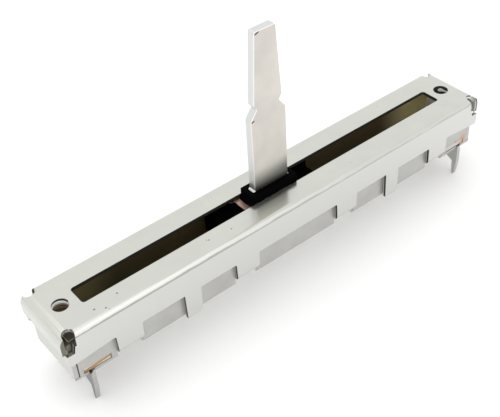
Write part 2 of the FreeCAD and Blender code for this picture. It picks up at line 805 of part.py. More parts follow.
def make_eyelets():
    low = board_bottom - pin_sheet - eyelet_rim
    height = strip_top + eyelet_rim - low
    eyelets = []
    for number, (end, side) in enumerate([(end, side) for end in ends for side in sides]):
        x = eyelet_along * end
        y = eyelet_across * side
        name = f"eyelet_{number}"
        solid = joined(name + "_solid", [
            rod(name + "_shank", x, y, low, eyelet_shank, height),
            rod(name + "_low_head", x, y, low, eyelet_head, eyelet_rim),
            rod(name + "_top_head", x, y, strip_top, eyelet_head, eyelet_rim),
        ])
        bore = rod(name + "_bore", x, y, low - eyelet_rim, eyelet_bore, height + eyelet_rim * 2)
        eyelets.append(cut(name, solid, bore))
    group = doc.addObject("Part::Compound", "terminal_eyelets")
    group.Links = eyelets
    parts.append(group)


# Carriage: block with runners, boss, pocket for the lever and studs for the wiper

def make_carriage():
    body = new_body("carriage", rides_slider=True)
    half_block = carriage_length / 2
    block_edge = pan_half_inside - carriage_side_gap
    half_boss = boss_length / 2
    boss_edge = slot_width / 2 - boss_gap
    sketch = new_sketch(body, "BlockOutline", "XY_Plane", carriage_bottom)
    rectangle(sketch, -half_block, half_block, -block_edge, block_edge)
    pad(body, "Block", sketch, carriage_depth)

    runner_bottom = board_top + runner_gap
    sketch = new_sketch(body, "RunnerOutlines", "XY_Plane", runner_bottom)
    runner_end = half_block - runner_inset
    for end in ends:
        for side in sides:
            points = [
                (runner_end - runner_length, block_edge - runner_width),
                (runner_end, block_edge - runner_width),
                (runner_end, block_edge),
                (runner_end - runner_length, block_edge),
            ]
            outline(sketch, [(point[0] * end, point[1] * side) for point in points])
    pad(body, "Runners", sketch, carriage_bottom - runner_bottom)

    sketch = new_sketch(body, "BossOutline", "XY_Plane", carriage_top)
    rectangle(sketch, -half_boss, half_boss, -boss_edge, boss_edge, boss_corner)
    pad(body, "Boss", sketch, boss_top - carriage_top)

    relief_edge = collar_radius + collar_gap
    furthest = pan_end_inside - half_block - nest_gap
    relief_start = screw_along - collar_radius - collar_gap - furthest
    sketch = new_sketch(body, "CollarReliefOutlines", "XY_Plane", carriage_top)
    for end in ends:
        outline(sketch, flipped([
            (relief_start, -relief_edge),
            (half_block + over, -relief_edge),
            (half_block + over, relief_edge),
            (relief_start, relief_edge),
        ], end))
    pocket(body, "CollarReliefs", sketch, carriage_top - relief_floor)

    sketch = new_sketch(body, "LeafGrooveOutline", "XY_Plane", carriage_top)
    rectangle(sketch, -half_boss - groove_length, -half_boss, -block_edge - over, block_edge + over)
    pocket(body, "LeafGroove", sketch, carriage_top - relief_floor)

    sketch = new_sketch(body, "TangOutline", "XY_Plane", boss_top)
    rectangle(sketch, -lever_width / 2, lever_width / 2, -lever_sheet / 2, lever_sheet / 2)
    pocket(body, "TangPocket", sketch, tang_depth)

    stud_along = -wiper_start + wiper_plate / 2
    sketch = new_sketch(body, "StudCircles", "XY_Plane", wiper_bottom)
    for side in sides:
        circle(sketch, stud_along, stud_across * side, stud_bore)
    pad(body, "Studs", sketch, wiper_sheet)
    sketch = new_sketch(body, "StudHeadCircles", "XY_Plane", wiper_bottom - stud_head_height)
    for side in sides:
        circle(sketch, stud_along, stud_across * side, stud_head)
    pad(body, "StudHeads", sketch, stud_head_height)


# Lever: a stamped blade with a stepped foot, two notches and a tapered top

def make_lever():
    body = new_body("lever", rides_slider=True)
    half_blade = lever_width / 2
    step_edge = half_blade + step_width
    right_side = [
        (half_blade, boss_top - tang_depth, notch_round),
        (half_blade, boss_top),
        (step_edge, boss_top),
        (step_edge, boss_top + step_height),
        (half_blade, boss_top + step_height + step_slope),
        (half_blade, cover_top + notch_bottom, notch_round),
        (notch_inner_width / 2, cover_top + notch_middle, notch_round),
        (neck_width / 2, cover_top + notch_top, lever_edge * 2),
        (lever_top_width / 2, cover_top + lever_rise, lever_top_round),
    ]
    left_side = flipped(right_side, -1)
    left_side.reverse()
    sketch = new_sketch(body, "LeverOutline", "XZ_Plane")
    outline(sketch, right_side + left_side)
    blade = pad(body, "Blade", sketch, lever_sheet, symmetric=True)

    flat_faces = []
    for number, face in enumerate(blade.Shape.Faces, start=1):
        if abs(abs(face.CenterOfMass.y) - lever_sheet.number / 2) < 0.001:
            flat_faces.append(f"Face{number}")
    broken = body.newObject("PartDesign::Chamfer", "BrokenEdges")
    broken.Base = (blade, flat_faces)
    broken.Size = lever_edge.number
    broken.setExpression("Size", lever_edge.formula)
    close(body, broken)


# Wiper: a plate closed on the studs, with two combs of fingers

def make_wiper():
    body = new_body("wiper_contact", rides_slider=True)
    plate_end = -wiper_start + wiper_plate
    stud_along = -wiper_start + wiper_plate / 2
    sketch = new_sketch(body, "WiperOutline", "XY_Plane", wiper_bottom)
    rectangle(sketch, -wiper_start, plate_end, -wiper_span / 2, wiper_span / 2)
    for side in sides:
        circle(sketch, stud_along, stud_across * side, stud_bore)
    pad(body, "WiperPlate", sketch, wiper_sheet)

    contact = plate_end + finger_reach
    contact_level = strip_top + contact_gap
    tail = contact + finger_tail
    tail_level = contact_level + finger_tail_rise
    root = plate_end - finger_pitch
    first_fingers = []
    for name, middle in (("Near", -strip_place), ("Far", strip_place)):
        first = middle - (finger_pitch * (finger_count - 1) + finger_width) / 2
        sketch = new_sketch(body, name + "FingerSection", "XZ_Plane", -first - finger_width)
        outline(sketch, [
            (root, wiper_bottom),
            (plate_end, wiper_bottom),
            (contact, contact_level, finger_bend),
            (tail, tail_level),
            (tail, tail_level + wiper_sheet),
            (contact, contact_level + wiper_sheet, finger_bend),
            (plate_end, wiper_bottom + wiper_sheet),
            (root, wiper_bottom + wiper_sheet),
        ])
        first_fingers.append(pad(body, name + "Finger", sketch, finger_width))
    row_of(body, "Combs", first_fingers, "Y_Axis", finger_pitch, finger_count)


# Drag leaf: a strip bowed across the carriage, pressing up beside the slot

def make_leaf():
    body = new_body("drag_spring", rides_slider=True)
    crest_top = cover_under - leaf_gap
    right_edge = -boss_length / 2 - leaf_gap
    end_level = relief_floor
    crest_level = crest_top - leaf_sheet
    half = [
        (leaf_flat, crest_level - leaf_sag, leaf_sheet),
        (leaf_crest, crest_level, leaf_sheet),
        (leaf_span / 2, end_level),
    ]
    upper = [(point[0], point[1] + leaf_sheet) + tuple(point[2:]) for point in half]
    lower_left = flipped(half, -1)
    lower_left.reverse()
    upper_left = flipped(upper, -1)
    upper.reverse()
    sketch = new_sketch(body, "LeafSection", "YZ_Plane", right_edge - leaf_end_width)
    outline(sketch, lower_left + half + upper + upper_left)
    pad(body, "LeafStrip", sketch, leaf_end_width)
    waist_edge = right_edge - leaf_width
    sketch = new_sketch(body, "LeafWaistOutline", "XY_Plane")
    outline(sketch, [
        (waist_edge - over, -leaf_waist / 2),
        (waist_edge, -leaf_waist / 2, leaf_sheet),
        (waist_edge, leaf_waist / 2, leaf_sheet),
        (waist_edge - over, leaf_waist / 2),
    ])
    pocket(body, "LeafWaist", sketch)


make_cover()
make_pan()
make_board()
make_insulator()
make_strips()
for end_word, end in (("left", -1), ("right", 1)):
    for side_word, side in (("near", -1), ("far", 1)):
        make_terminal(f"terminal_{side_word}_{end_word}", end, side)
make_eyelets()
make_carriage()
make_lever()
make_wiper()
make_leaf()

doc.recompute()
for feature in doc.Objects:
    if "Invalid" in feature.State or "Error" in feature.State:
        raise ValueError(f"{feature.Name} has failed")
for part in parts:
    if part.Shape.isNull() or not part.Shape.isValid():
        raise ValueError(f"{part.Label} is not a valid shape")

os.makedirs("parts", exist_ok=True)
for part in parts:
    part.Shape.exportStep(f"parts/{part.Label}.step")
    print(part.Label, len(part.Shape.Solids), round(part.Shape.Volume, 3), part.Shape.BoundBox)
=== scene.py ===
import math
import bpy
from mathutils import Euler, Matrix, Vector


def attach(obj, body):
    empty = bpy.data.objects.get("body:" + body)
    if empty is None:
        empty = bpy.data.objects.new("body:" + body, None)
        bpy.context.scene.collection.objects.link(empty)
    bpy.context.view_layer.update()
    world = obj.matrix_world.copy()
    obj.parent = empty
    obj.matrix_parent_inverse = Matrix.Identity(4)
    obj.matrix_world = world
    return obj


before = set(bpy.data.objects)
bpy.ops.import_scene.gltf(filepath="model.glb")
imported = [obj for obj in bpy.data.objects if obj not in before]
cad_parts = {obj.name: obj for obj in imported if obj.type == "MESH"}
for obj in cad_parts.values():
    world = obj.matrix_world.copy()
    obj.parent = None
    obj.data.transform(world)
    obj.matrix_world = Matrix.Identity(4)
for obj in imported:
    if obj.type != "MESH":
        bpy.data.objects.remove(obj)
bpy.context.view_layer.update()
mm = 0.001
print("frame loaded")

turned = 0.8  # a face looks along an axis when this much of its normal does
halfTurned = 0.5
# a noise is given by its scale, detail and roughness
# a fade is its value at the start and at the end, then the start and the end themselves
cloudFade = (0.0, 1.0, 0.35, 0.7)
grainDepth = 0.01 * mm  # depth of the fine bumps in most finishes
grainShares = (0.6, 0.4)  # of clouds and of speckle in the bumps of plated sheet


class Finish:
    # a material under construction, with short calls for its nodes
    def __init__(self, name):
        self.material = bpy.data.materials.new(name)
        self.material.use_nodes = True
        self.tree = self.material.node_tree
        self.shader = self.tree.nodes["Principled BSDF"]
        self.coords = self.tree.nodes.new("ShaderNodeTexCoord")

    def join(self, source, target):
        self.tree.links.new(source, target)

    def put(self, value, socket):
        if isinstance(value, bpy.types.NodeSocket):
            self.join(value, socket)
        else:
            socket.default_value = value

    def putColour(self, value, socket):
        self.put(value if isinstance(value, bpy.types.NodeSocket) else (*value, 1.0), socket)

    def math(self, kind, first, second=0.0, third=0.0):
        node = self.tree.nodes.new("ShaderNodeMath")
        node.operation = kind
        for value, socket in zip((first, second, third), node.inputs):
            self.put(value, socket)
        return node.outputs[0]

    def times(self, *values):
        total = values[0]
        for value in values[1:]:
            total = self.math("MULTIPLY", total, value)
        return total

    def most(self, *values):
        total = values[0]
        for value in values[1:]:
            total = self.math("MAXIMUM", total, value)
        return total

    def plus(self, first, second):
        return self.math("ADD", first, second)

    def minus(self, first, second):
        return self.math("SUBTRACT", first, second)

    def size(self, value):
        return self.math("ABSOLUTE", value)

    def above(self, value, limit):
        return self.math("GREATER_THAN", value, limit)

    def below(self, value, limit):
        return self.math("LESS_THAN", value, limit)

    def between(self, value, low, high):
        return self.times(self.above(value, low), self.below(value, high))

    def distance(self, first, second):
        squares = [self.times(value, value) for value in (first, second)]
        return self.math("SQRT", self.plus(*squares))

    def fromPoint(self, first, second, point):
        return self.distance(self.minus(first, point[0]), self.minus(second, point[1]))

    def split(self, vector):
        node = self.tree.nodes.new("ShaderNodeSeparateXYZ")
        self.join(vector, node.inputs[0])
        return node.outputs

    def place(self):
        # where the point is on the piece, in metres
        return self.split(self.coords.outputs["Object"])

    def facing(self):
        return self.split(self.coords.outputs["Normal"])

    def stretched(self, x, y, z):
        node = self.tree.nodes.new("ShaderNodeMapping")
        self.join(self.coords.outputs["Object"], node.inputs["Vector"])
        node.inputs["Scale"].default_value = (x, y, z)
        return node.outputs[0]

    def noise(self, scale, detail=3.0, roughness=0.5, vector=None):
        node = self.tree.nodes.new("ShaderNodeTexNoise")
        self.join(vector or self.coords.outputs["Object"], node.inputs["Vector"])
        node.inputs["Scale"].default_value = scale
        node.inputs["Detail"].default_value = detail
        node.inputs["Roughness"].default_value = roughness
        return node.outputs["Fac"]

    def fade(self, value, low, high, start=0.0, end=1.0, soft=False):
        node = self.tree.nodes.new("ShaderNodeMapRange")
        node.interpolation_type = "SMOOTHSTEP" if soft else "LINEAR"
        self.join(value, node.inputs[0])
        for socket, number in zip(list(node.inputs)[1:5], (start, end, low, high)):
            socket.default_value = number
        return node.outputs[0]

    def mix(self, factor, first, second):
        node = self.tree.nodes.new("ShaderNodeMix")
        node.data_type = "RGBA"
        self.put(factor, node.inputs[0])
        self.putColour(first, node.inputs[6])  # inputs 6 and 7 take the two colours
        self.putColour(second, node.inputs[7])
        return node.outputs[2]

    def bump(self, height, strength, depth=grainDepth):
        node = self.tree.nodes.new("ShaderNodeBump")
        node.inputs["Strength"].default_value = strength
        node.inputs["Distance"].default_value = depth
        self.join(height, node.inputs["Height"])
        self.join(node.outputs[0], self.shader.inputs["Normal"])

    def finish(self, colour, roughness, metallic=0.0, **constants):
        self.putColour(colour, self.shader.inputs["Base Color"])
        self.put(roughness, self.shader.inputs["Roughness"])
        self.put(metallic, self.shader.inputs["Metallic"])
        for name, value in constants.items():
            self.shader.inputs[name].default_value = value
        return self.material


def platingGrain(f, clouds, speckle):
    # fine unevenness of plated sheet
    return f.plus(f.times(clouds, grainShares[0]), f.times(speckle, grainShares[1]))


def dress(nodeNames, material):
    for name in nodeNames:
        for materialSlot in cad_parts[name].material_slots:
            materialSlot.material = material


brokenEdge = {
    "weldReach": 0.002 * mm,
    "width": 0.05 * mm,
    "segments": 2,
    "angle": 35,  # degrees, sharper corners than this are broken
}


def soften(nodeName):
    # breaks the sharp edges of a CAD piece so that they catch the light
    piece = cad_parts[nodeName]
    weld = piece.modifiers.new("join corners", "WELD")
    weld.merge_threshold = brokenEdge["weldReach"]
    bevel = piece.modifiers.new("broken edges", "BEVEL")
    bevel.width = brokenEdge["width"]
    bevel.segments = brokenEdge["segments"]
    bevel.limit_method = "ANGLE"
    bevel.angle_limit = math.radians(brokenEdge["angle"])
    smooth = piece.modifiers.new("even shading", "WEIGHTED_NORMAL")
    smooth.keep_sharp = True


cover = {
    "colour": (0.610, 0.620, 0.570),
    "cloud": (0.575, 0.586, 0.545),
    # painted light: faces turned sideways are painted lighter than the top
    "skirt": (0.635, 0.635, 0.612),
    # painted highlight along the long bends
    "bend": (0.80, 0.80, 0.755),
    # painted shade in a dark line under the bend highlight
    "underBendShade": (0.34, 0.335, 0.31),
    "pit": (0.10, 0.10, 0.08),
    "cutEdge": (0.035, 0.033, 0.028),
    "tabEdge": (0.02, 0.019, 0.017),
    "innerEdge": (0.50, 0.50, 0.49),
    "flapEdge": (0.17, 0.165, 0.125),
    # painted shade in the left corner relief and painted light in the right one
    "relief": ((0.36, 0.35, 0.29), (0.92, 0.92, 0.88)),  # at the left end and at the right one
    # painted shade on the underside inside the case, and painted light towards its right end
    "inside": (0.10, 0.095, 0.07),
    "insideLitRight": (0.62, 0.56, 0.40),
    "collar": (0.74, 0.68, 0.60),
    # painted shade in the thread grooves and on the deep turns, and a painted highlight on the bright turns
    "groove": (0.03, 0.025, 0.02),
    "crest": (1.0, 1.0, 0.98),
    "shadedCrest": (0.34, 0.25, 0.20),
    "roughness": (0.17, 0.27),
    "dulling": 0.3,  # added to the roughness of cut and hidden faces
    "boreDulling": 1.4,
    "metal": (0.92, 0.35),  # on clean faces and on dull ones
    "clouds": (230, 5, 0.6),
    "wisps": (500, 4, 0.6),
    "wispStretch": (0.35, 1.0, 1.0),
    "wispShare": 0.30,
    "waver": (90, 4, 0.65),
    "waverStretch": (1.0, 0.1, 0.1),
    "speckle": (3200, 2),
    "bump": 0.25,
    "skirtBegins": (0.0, 1.0, 0.8, 0.99),
    # the painted highlight on the long bends, worked out from how far the face has turned
    "bendBegins": (0.0, 1.0, 0.42, 0.56),
    "bendEnds": (1.0, 0.0, 1.02, 1.08),
    "bendNarrows": (0.0, 0.34, -36 * mm, 20 * mm),
    "bendWavers": (0.1, 0.6, -30 * mm, 0.0),
    "bendFades": (1.0, 0.06, -30 * mm, 16 * mm),
    "bendRise": 0.1,
    # a painted dark line of shade under it
    "shadeLineBegins": (0.0, 1.0, 1.06, 1.10),
    "shadeLineEnds": (0.0, 1.0, 0.05, 0.12),
    "shadeLineFades": (0.9, 0.45, -34 * mm, 30 * mm),
    # x, y and radius in mm of the small pits in the plating
    "pits": [
        (-33.35, -4.6, 0.14), (-33.1, -5.1, 0.08), (-30.75, -3.3, 0.13),
        (-11.1, -3.6, 0.12), (-15.0, -3.3, 0.12), (-15.3, -3.1, 0.09),
        (-34.7, -3.8, 0.14), (12.4, -4.1, 0.08), (26.3, 3.9, 0.06),
    ],
    "pitRagged": 0.08 * mm,
    "pitShare": 0.85,
    # cut faces, told by how far out they are
    "insideWidth": 4.9 * mm,
    "insideEnd": 40.3 * mm,
    "skirtStart": 5.0 * mm,
    "skirtCore": 5.45 * mm,  # a sheared edge is dark from here outward
    "flapWidth": 5.5 * mm,
    "flapStart": 39.0 * mm,
    "flapBend": (39.6 * mm, 13.6 * mm),  # distance from the middle and height of its centre
    "flapCore": 1.33 * mm,  # the right flap's edge is dark from here outward
    "flapInside": (40.45 * mm, 40.7 * mm),
    "flapInsideFacing": 0.6,
    "reliefEnds": (38.6 * mm, 40.58 * mm),
    "reliefSides": (4.2 * mm, 5.8 * mm),
    "reliefFloor": 11.9 * mm,
    "reliefFacing": (0.05, 0.995),  # its wall turns less than this up and less than this sideways
    "undersideFloor": 7.0 * mm,
    "insideFades": (0.0, 1.0, 20 * mm, 34 * mm),
    # screw holes
    "screwPlace": 37.75 * mm,
    "collarReach": 2.1 * mm,
    "collarTop": 14.6 * mm,
    "threadReach": 1.34 * mm,
    "threadPitch": 0.5 * mm,
    "threadHeight": 12.0,
    "crestFade": (0.0, 1.0, 0.06, 0.16),
    # painted highlight on the turns between these heights in the left hole, and a painted glint in the
    # right one
    "crestLevels": (14.45 * mm, 14.97 * mm),  # turns between these heights are bright in the left hole
    "glintPlace": (38.68 * mm, 14.36 * mm),  # x and height of the one bright spot in the right hole
    "glintReach": 0.34 * mm,
}


def threadTone(f, x, y, z, fromScrew):
    # turns of the thread in both screw holes, as a height and as a colour: painted shade in the grooves and
    # on the deep turns, a painted highlight on some turns of the left hole and a painted glint in the right
    # one
    turn = f.math("DIVIDE", f.math("ARCTAN2", y, fromScrew), 2 * math.pi)
    ridge = f.math("PINGPONG", f.math("MULTIPLY_ADD", z, 1 / cover["threadPitch"], turn), 0.5)
    lowest, highest = cover["crestLevels"]
    rising = f.math("MULTIPLY_ADD", turn, cover["threadPitch"], z)
    left = f.mix(f.fade(ridge, *cover["crestFade"], True), cover["groove"], cover["shadedCrest"])
    left = f.mix(f.above(rising, lowest), left, cover["crest"])
    left = f.mix(f.above(rising, highest), left, cover["groove"])
    fromGlint = f.fromPoint(x, z, cover["glintPlace"])
    right = f.mix(f.below(fromGlint, cover["glintReach"]), cover["groove"], cover["crest"])
    return f.mix(f.above(x, 0.0), left, right), ridge


def coverPlating():
    # bright plating with a painted highlight and a painted dark line of shade along the bends, sideways
    # faces painted lighter, painted shade inside and in the left corner relief, painted light at the right
    # end, and sheared edges left dark
    f = Finish("coverPlating")
    x, y, z = f.place()
    nx, ny, nz = f.facing()
    endward, sideward = f.size(x), f.size(y)  # how far out along the case and across it
    facesEnd, facesSide = f.size(nx), f.size(ny)
    clouds = f.noise(*cover["clouds"])
    wisps = f.noise(*cover["wisps"], f.stretched(*cover["wispStretch"]))
    speckle = f.noise(*cover["speckle"])
    colour = f.mix(f.fade(clouds, *cloudFade), cover["colour"], cover["cloud"])
    # painted light on the faces turned sideways
    colour = f.mix(f.fade(facesSide, *cover["skirtBegins"]), colour, cover["skirt"])

    # painted highlight along the long bends, narrower and fainter towards the right
    wave = f.math("MULTIPLY_ADD", wisps, cover["wispShare"], facesSide)
    waver = f.noise(*cover["waver"], f.stretched(*cover["waverStretch"]))
    rising = f.minus(wave, f.fade(x, *cover["bendNarrows"]))
    rising = f.math("MULTIPLY_ADD", f.minus(waver, 0.5), f.fade(x, *cover["bendWavers"]), rising)
    paintedHighlight = f.times(f.fade(rising, *cover["bendBegins"], True), f.fade(wave, *cover["bendEnds"], True))
    paintedHighlight = f.times(paintedHighlight, f.fade(x, *cover["bendFades"]), f.above(nz, cover["bendRise"]))
    colour = f.mix(paintedHighlight, colour, cover["bend"])
    # painted shade in a dark line under the highlight
    shadeLine = f.times(f.fade(wave, *cover["shadeLineBegins"], True), f.fade(nz, *cover["shadeLineEnds"]))
    shadeLine = f.times(shadeLine, f.fade(x, *cover["shadeLineFades"]))
    colour = f.mix(shadeLine, colour, cover["underBendShade"])

    ragged = f.math("MULTIPLY_ADD", speckle, cover["pitRagged"], -cover["pitRagged"] / 2)
    pits = []
    for pitX, pitY, radius in cover["pits"]:
        away = f.fromPoint(x, y, (pitX * mm, pitY * mm))
        pits.append(f.below(f.plus(away, ragged), radius * mm))
    inPit = f.times(f.most(*pits), f.above(nz, turned), cover["pitShare"])
    colour = f.mix(inPit, colour, cover["pit"])

    acrossCut = f.times(f.above(facesSide, turned), f.below(sideward, cover["insideWidth"]))
    alongCut = f.times(f.above(facesEnd, turned), f.below(endward, cover["insideEnd"]))
    atFlap = f.times(f.below(sideward, cover["flapWidth"]), f.above(endward, cover["flapStart"]))
    flapCut = f.times(f.above(facesSide, turned), atFlap)
    cutMask = f.most(acrossCut, alongCut, flapCut)
    colour = f.mix(cutMask, colour, cover["cutEdge"])
    onSkirtEdge = f.times(alongCut, f.above(sideward, cover["skirtStart"]))
    skirtEdge = f.mix(f.above(sideward, cover["skirtCore"]), cover["innerEdge"], cover["tabEdge"])
    colour = f.mix(onSkirtEdge, colour, skirtEdge)
    bendX, bendZ = cover["flapBend"]
    fromBend = f.distance(f.minus(endward, bendX), f.most(f.minus(z, bendZ), 0.0))
    rightFlapEdge = f.mix(f.above(fromBend, cover["flapCore"]), cover["innerEdge"], cover["tabEdge"])
    colour = f.mix(flapCut, colour, f.mix(f.below(x, 0.0), rightFlapEdge, cover["flapEdge"]))

    # painted shade in the left corner relief and painted light in the right one
    inRelief = f.times(f.between(endward, *cover["reliefEnds"]), f.between(sideward, *cover["reliefSides"]))
    rise, sideTurn = cover["reliefFacing"]
    inRelief = f.times(inRelief, f.below(nz, rise), f.below(facesSide, sideTurn))
    inRelief = f.times(inRelief, f.above(z, cover["reliefFloor"]))
    colour = f.mix(inRelief, colour, f.mix(f.above(x, 0.0), *cover["relief"]))
    # painted shade on the underside inside the case, with painted light towards the right end
    underside = f.times(f.below(nz, -turned), f.above(z, cover["undersideFloor"]))
    insideShadeAndLight = f.mix(f.fade(x, *cover["insideFades"], True), cover["inside"], cover["insideLitRight"])
    colour = f.mix(underside, colour, insideShadeAndLight)
    flapInside = f.between(endward, *cover["flapInside"])
    flapInside = f.times(flapInside, f.above(facesEnd, cover["flapInsideFacing"]))

    fromScrew = f.minus(endward, cover["screwPlace"])
    radius = f.distance(fromScrew, y)
    aroundBore = f.between(radius, cover["threadReach"], cover["collarReach"])
    onCollar = f.times(aroundBore, f.below(z, cover["collarTop"]))
    colour = f.mix(onCollar, colour, cover["collar"])
    # the thread carries painted shade and painted highlights
    inBore = f.times(f.below(radius, cover["threadReach"]), f.below(nz, halfTurned))
    thread, ridge = threadTone(f, x, y, z, fromScrew)
    colour = f.mix(inBore, colour, thread)

    dullBore = f.times(inBore, cover["boreDulling"])
    dull = f.most(cutMask, underside, inRelief, onCollar, flapInside, dullBore)
    rough = f.math("MULTIPLY_ADD", dull, cover["dulling"], f.fade(clouds, *cover["roughness"]))
    grain = platingGrain(f, clouds, speckle)
    f.bump(f.math("MULTIPLY_ADD", f.times(ridge, inBore), cover["threadHeight"], grain), cover["bump"])
    return f.finish(colour, rough, f.times(f.fade(dull, *cover["metal"]), f.minus(1.0, inBore)))


dress(["top_cover"], coverPlating())
soften("top_cover")

pan = {
    "colour": (0.520, 0.518, 0.502),
    "cloud": (0.470, 0.466, 0.450),
    # painted highlight on the lower bend
    "lowBendHighlight": (0.66, 0.655, 0.625),
    # painted light on faces turned towards the left
    "endFaceLight": (0.64, 0.635, 0.61),
    "stain": (0.55, 0.30, 0.13),
    "speck": (0.12, 0.11, 0.12),
    # painted shade on the walls seen in the left corner reliefs
    "corner": (0.20, 0.195, 0.150),
    # painted shade inside the case, a painted reflection of the board and painted light towards both ends
    "inside": (0.080, 0.068, 0.026),
    "insideWarmReflection": (0.13, 0.080, 0.030),
    "leftInsideLight": (0.31, 0.26, 0.12),
    "endInsideLight": (1.0, 0.90, 0.50),
    "endPaleLight": (0.98, 0.95, 0.82),
    "roughness": (0.42, 0.55),
    "dulling": 0.2,  # added to the roughness inside
    "metal": (0.85, 0.0),  # outside and inside
    "clouds": (300, 4),
    "speckle": (2800, 2),
    "bump": 0.22,
    "lowBendFades": (1.0, 0.0, -0.75, -0.15),
    "endFacing": 0.7,
    "stainPlace": (38.5 * mm, 7.35 * mm),  # x and height, on the near wall
    "stainFades": (0.75, 0.0, 0.75 * mm, 1.65 * mm),
    "stainRagged": 1.1 * mm,
    "speckPlace": (36.8 * mm, 7.4 * mm),
    "speckReach": 0.14 * mm,
    # painted shade, reflection and light inside, along the slot
    "streaks": (160, 3, 0.5),
    "streakStretch": (0.3, 1.0, 1.6),
    "streakFade": (0.0, 1.0, 0.4, 0.65),
    "warmRight": (0.0, 0.5, 8 * mm, 30 * mm),
    "brightRight": (0.0, 1.0, 27 * mm, 37 * mm),
    "brightLeft": (1.0, 0.0, -34 * mm, -26 * mm),
    "paleEnd": -37 * mm,
    "insideWidth": 4.6 * mm,
    "insideEnd": 39.7 * mm,
    # painted shade on the pan above this height, where the cover hides it
    "hiddenTop": 11.9 * mm,
    "cornerPlace": 38.4 * mm,  # beyond this the corner reliefs show the tops of the walls
    "cornerFloor": 11.0 * mm,
}


def panPlating():
    # duller than the cover, with painted shade inside and where the cover hides it, a painted reflection of
    # the board inside, painted light towards the ends, a painted highlight on the lower bend and painted
    # light on faces turned towards the left
    f = Finish("panPlating")
    x, y, z = f.place()
    nx, ny, nz = f.facing()
    endward = f.size(x)
    clouds = f.noise(*pan["clouds"])
    speckle = f.noise(*pan["speckle"])
    colour = f.mix(f.fade(clouds, *cloudFade), pan["colour"], pan["cloud"])
    # painted highlight on the lower bend
    colour = f.mix(f.fade(nz, *pan["lowBendFades"], True), colour, pan["lowBendHighlight"])
    # painted light on faces turned towards the left
    colour = f.mix(f.below(nx, -pan["endFacing"]), colour, pan["endFaceLight"])

    nearWall = f.below(ny, -turned)
    ragged = f.math("MULTIPLY_ADD", speckle, pan["stainRagged"], f.fromPoint(x, z, pan["stainPlace"]))
    stain = f.fade(ragged, *pan["stainFades"])
    colour = f.mix(f.times(stain, nearWall), colour, pan["stain"])
    speck = f.below(f.fromPoint(x, z, pan["speckPlace"]), pan["speckReach"])
    colour = f.mix(f.times(speck, nearWall), colour, pan["speck"])

    # painted shade inside the case and under the cover, with a painted reflection of the board and painted
    # light towards both ends
    onEnd = f.above(f.size(nx), halfTurned)
    streaks = f.noise(*pan["streaks"], f.stretched(*pan["streakStretch"]))
    inside = f.mix(f.fade(streaks, *pan["streakFade"]), pan["inside"], pan["insideWarmReflection"])
    inside = f.mix(f.fade(x, *pan["warmRight"]), inside, pan["insideWarmReflection"])
    inside = f.mix(f.fade(x, *pan["brightRight"], True), inside, pan["endInsideLight"])
    inside = f.mix(f.fade(x, *pan["brightLeft"], True), inside, pan["leftInsideLight"])
    inside = f.mix(f.most(f.below(x, pan["paleEnd"]), onEnd), inside, pan["endPaleLight"])
    facingIn = f.most(f.above(f.size(ny), halfTurned), onEnd, f.above(nz, halfTurned))
    within = f.times(f.below(f.size(y), pan["insideWidth"]), f.below(endward, pan["insideEnd"]))
    hiddenShade = f.times(f.above(z, pan["hiddenTop"]), f.below(endward, pan["cornerPlace"]))
    insideMask = f.most(f.times(facingIn, within), hiddenShade)
    colour = f.mix(insideMask, colour, inside)

    # painted shade on the walls seen in the left corner reliefs
    leftCornerShade = f.times(f.below(x, -pan["cornerPlace"]), f.above(z, pan["cornerFloor"]))
    leftCornerShade = f.times(leftCornerShade, f.below(nx, halfTurned), f.minus(1.0, insideMask))
    colour = f.mix(leftCornerShade, colour, pan["corner"])
    rough = f.math("MULTIPLY_ADD", insideMask, pan["dulling"], f.fade(clouds, *pan["roughness"]))
    f.bump(platingGrain(f, clouds, speckle), pan["bump"])
    return f.finish(colour, rough, f.fade(insideMask, *pan["metal"]))


dress(["base_pan"], panPlating())
soften("base_pan")
print("case dressed")


lever = {
    "colour": (0.665, 0.635, 0.585),
    "cloud": (0.575, 0.550, 0.510),
    # painted shade on the lower part of the lever
    "foot": (0.19, 0.19, 0.175),
    # painted highlight on the broken edges
    "brokenEdge": (0.86, 0.86, 0.84),
    "cutEdge": (0.66, 0.67, 0.66),
    "dent": (0.12, 0.11, 0.10),
    "roughness": (0.30, 0.42),
    "metal": 0.9,
    "grain": (900, 4, 0.6),
    "grainStretch": (1.0, 1.0, 0.35),
    "clouds": (200, 4),
    "bump": 0.2,
    "footFades": (1.0, 0.0, 18.2 * mm, 21.6 * mm),  # by height
    "footLean": 0.12,
    "footRagged": 1.6 * mm,
    "flatFacing": 0.9,  # faces turned sideways less than this are broken edges
    "cutFacing": 0.5,  # and less than this, cut ones
    # x, height and half length in mm of the dark nicks
    "dents": [(-2.35, 42.72, 0.45), (-3.80, 29.05, 0.34)],
    "dentSlope": 0.25,
    "dentHalfHeight": 0.15 * mm,
}


